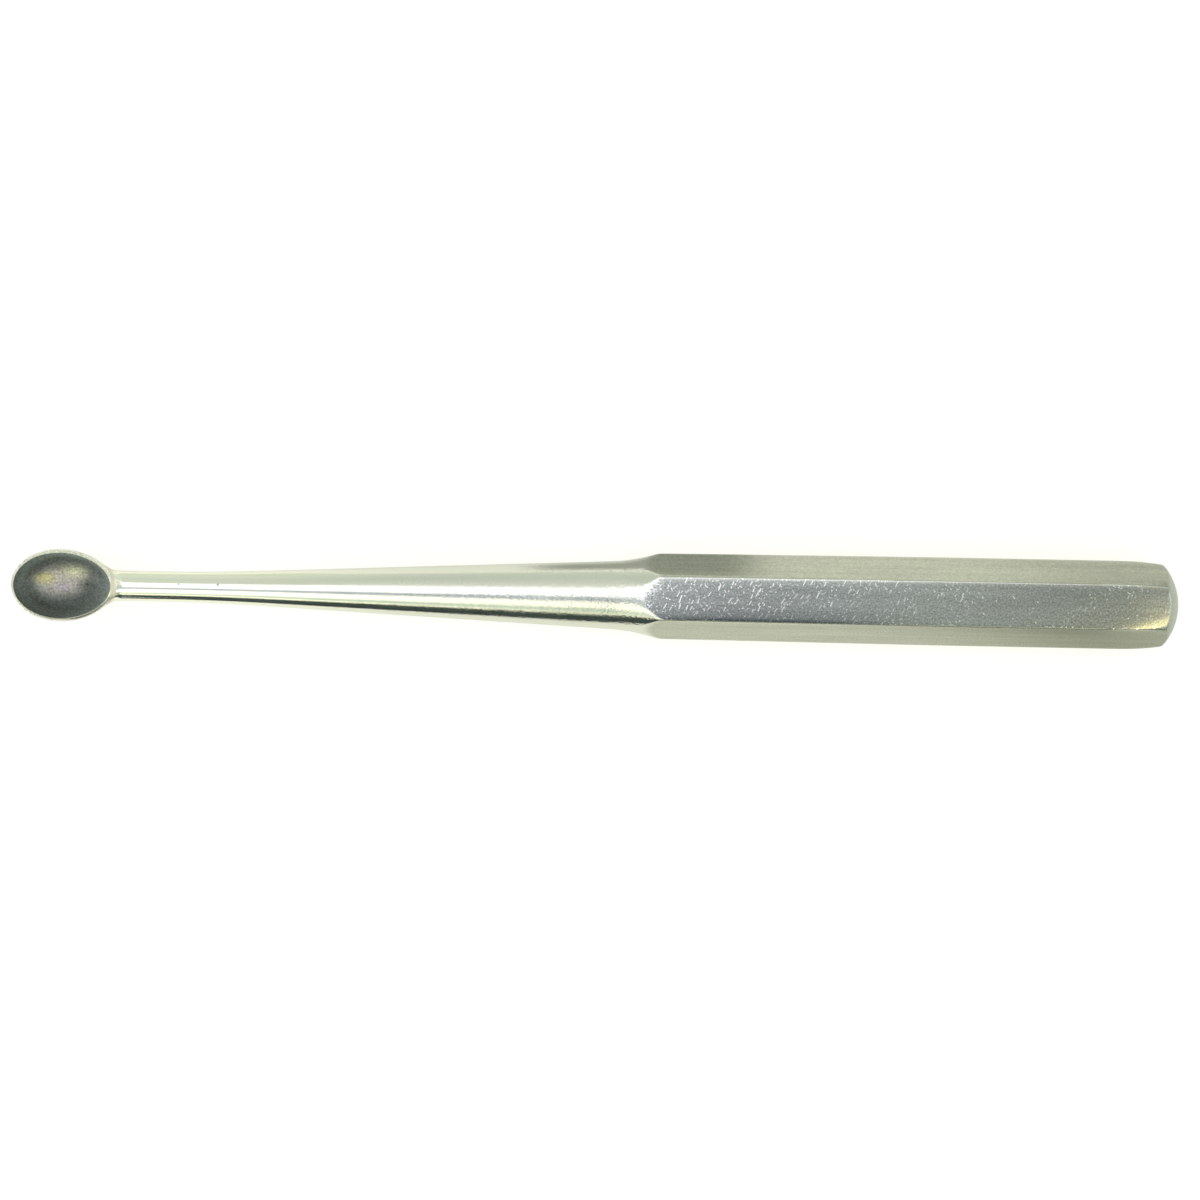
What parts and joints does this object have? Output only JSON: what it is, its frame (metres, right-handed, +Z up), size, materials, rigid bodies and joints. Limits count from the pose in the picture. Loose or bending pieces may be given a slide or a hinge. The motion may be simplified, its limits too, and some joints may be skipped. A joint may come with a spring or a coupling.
{
  "type": "bone curette",
  "caption": "Straight steel bone curette with an oval sharp-rimmed cup, a tapered round neck and a hexagonal grip with a domed end.",
  "frame": {"origin": "middle of the length, on the table under the grip's lower flat", "axes": "+X along the instrument towards the grip's domed end, +Z up out of the cup's mouth"},
  "size_m": [0.17, 0.013, 0.0113],
  "materials": {
    "steel": "satin stainless steel, polished neck, scratched flats and a matt cup"
  },
  "bodies": {
    "root": {"curette": "steel"}
  },
  "joints": []
}
